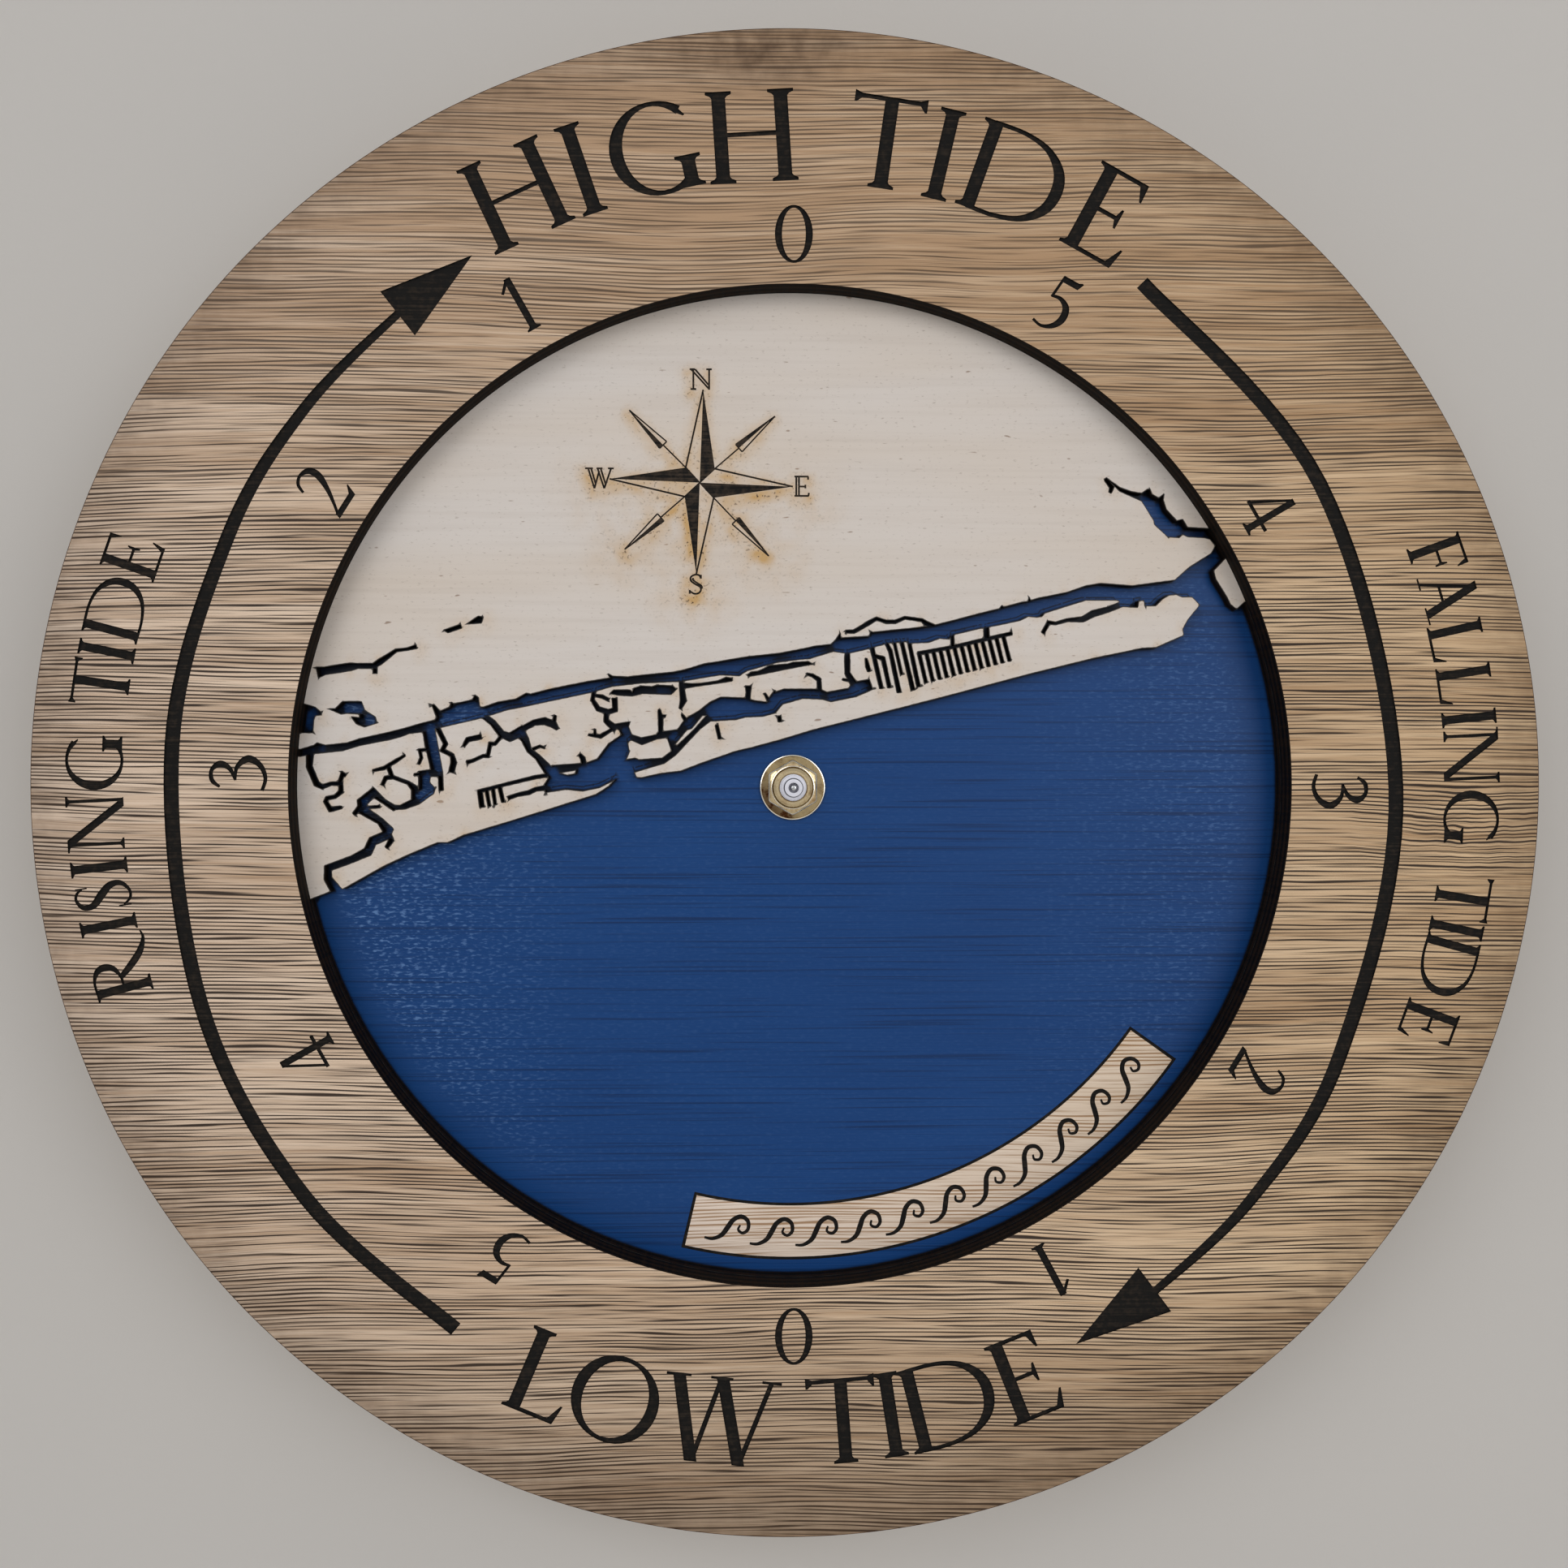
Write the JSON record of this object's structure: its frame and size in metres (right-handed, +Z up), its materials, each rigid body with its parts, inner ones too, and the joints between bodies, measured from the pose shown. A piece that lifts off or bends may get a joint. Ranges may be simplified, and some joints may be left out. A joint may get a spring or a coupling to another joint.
{
  "type": "tide clock",
  "caption": "Round wall tide clock: a layered wooden dial with a cut-out coast map and an engraved tide ring, turned by a battery quartz movement clamped to its back.",
  "frame": {"origin": "on the hand shaft's axis, where the back of the movement's cover meets the wall", "axes": "+Z up the dial to high tide, +X right as seen from the front, +Y into the wall; the dial faces -Y"},
  "size_m": [0.3048, 0.032, 0.3048],
  "materials": {
    "ring_wood": "sanded plywood, laser engraved",
    "land_wood": "whitewashed plywood, laser cut",
    "base_wood": "plywood, front painted blue",
    "case_plastic": "moulded black",
    "knob_plastic": "moulded red",
    "wheel_plastic": "moulded white acetal",
    "bush_brass": "turned",
    "gasket_rubber": "matte",
    "magnet_ferrite": "sintered",
    "motor_steel": "stamped",
    "winding_copper": "enamelled wire",
    "bobbin_plastic": "moulded",
    "board_laminate": "lacquered",
    "chip_resin": "cast drop",
    "crystal_can": "plated",
    "contact_steel": "nickel plated strip",
    "battery_jacket": "printed sleeve left plain"
  },
  "bodies": {
    "root": {"base_disc": "base_wood", "land_layer": "land_wood", "barrier_island": "land_wood", "beach_island": "land_wood", "middle_island": "land_wood", "west_island": "land_wood", "sound_islet": "land_wood", "canal_islet": "land_wood", "marsh_strip": "land_wood", "shoal_islet": "land_wood", "tide_ring": "ring_wood", "movement_case": "case_plastic", "movement_cover": "case_plastic", "rubber_gasket": "gasket_rubber", "threaded_bush": "bush_brass", "dial_washer": "bush_brass", "hex_nut": "bush_brass", "stator": "motor_steel", "coil_core": "motor_steel", "coil_bobbin": "bobbin_plastic", "coil_winding": "winding_copper", "circuit_board": "board_laminate", "control_chip": "chip_resin", "quartz_crystal": "crystal_can", "positive_contact": "contact_steel", "negative_contact": "contact_steel"},
    "rotor": {"rotor_pinion": "wheel_plastic", "rotor_magnet": "magnet_ferrite"},
    "step": {"step_wheel": "wheel_plastic"},
    "seconds": {"seconds_wheel": "wheel_plastic"},
    "third": {"third_wheel": "wheel_plastic"},
    "centre": {"centre_wheel": "wheel_plastic"},
    "minute": {"minute_tube": "wheel_plastic"},
    "motion": {"motion_wheel": "wheel_plastic", "set_knob": "knob_plastic"},
    "tide": {"tide_wheel": "wheel_plastic"},
    "battery": {"battery": "battery_jacket"}
  },
  "joints": [
    {"name": "rotor_turn", "type": "hinge", "parent": "root", "child": "rotor", "pos_m": [-0.00117, 0, 0.01653], "axis": [0, 1, 0], "continuous": true},
    {"name": "step_turn", "type": "hinge", "parent": "root", "child": "step", "pos_m": [-0.00117, 0, 0.00953], "axis": [0, 1, 0], "continuous": true},
    {"name": "seconds_turn", "type": "hinge", "parent": "root", "child": "seconds", "pos_m": [0, 0, 0], "axis": [0, 1, 0], "continuous": true},
    {"name": "third_turn", "type": "hinge", "parent": "root", "child": "third", "pos_m": [-0.0098, 0, 0], "axis": [0, 1, 0], "continuous": true},
    {"name": "centre_turn", "type": "hinge", "parent": "root", "child": "centre", "pos_m": [0, 0, 0], "axis": [0, 1, 0], "continuous": true},
    {"name": "minute_turn", "type": "hinge", "parent": "root", "child": "minute", "pos_m": [0, 0, 0], "axis": [0, 1, 0], "continuous": true},
    {"name": "motion_turn", "type": "hinge", "parent": "root", "child": "motion", "pos_m": [0.01, 0, 0], "axis": [0, 1, 0], "continuous": true},
    {"name": "tide_turn", "type": "hinge", "parent": "root", "child": "tide", "pos_m": [0, 0, 0], "axis": [0, 1, 0], "continuous": true},
    {"name": "battery_slide", "type": "slide", "parent": "root", "child": "battery", "axis": [0, 1, 0], "range_m": [0, 0.018]}
  ],
  "couplings": [
    {"joint": "step_turn", "follows": "rotor_turn", "ratio": -0.16667},
    {"joint": "seconds_turn", "follows": "rotor_turn", "ratio": 0.033333},
    {"joint": "third_turn", "follows": "rotor_turn", "ratio": -0.0041667},
    {"joint": "centre_turn", "follows": "rotor_turn", "ratio": 0.00055556},
    {"joint": "motion_turn", "follows": "minute_turn", "ratio": -0.33333},
    {"joint": "tide_turn", "follows": "minute_turn", "ratio": 0.083333}
  ]
}
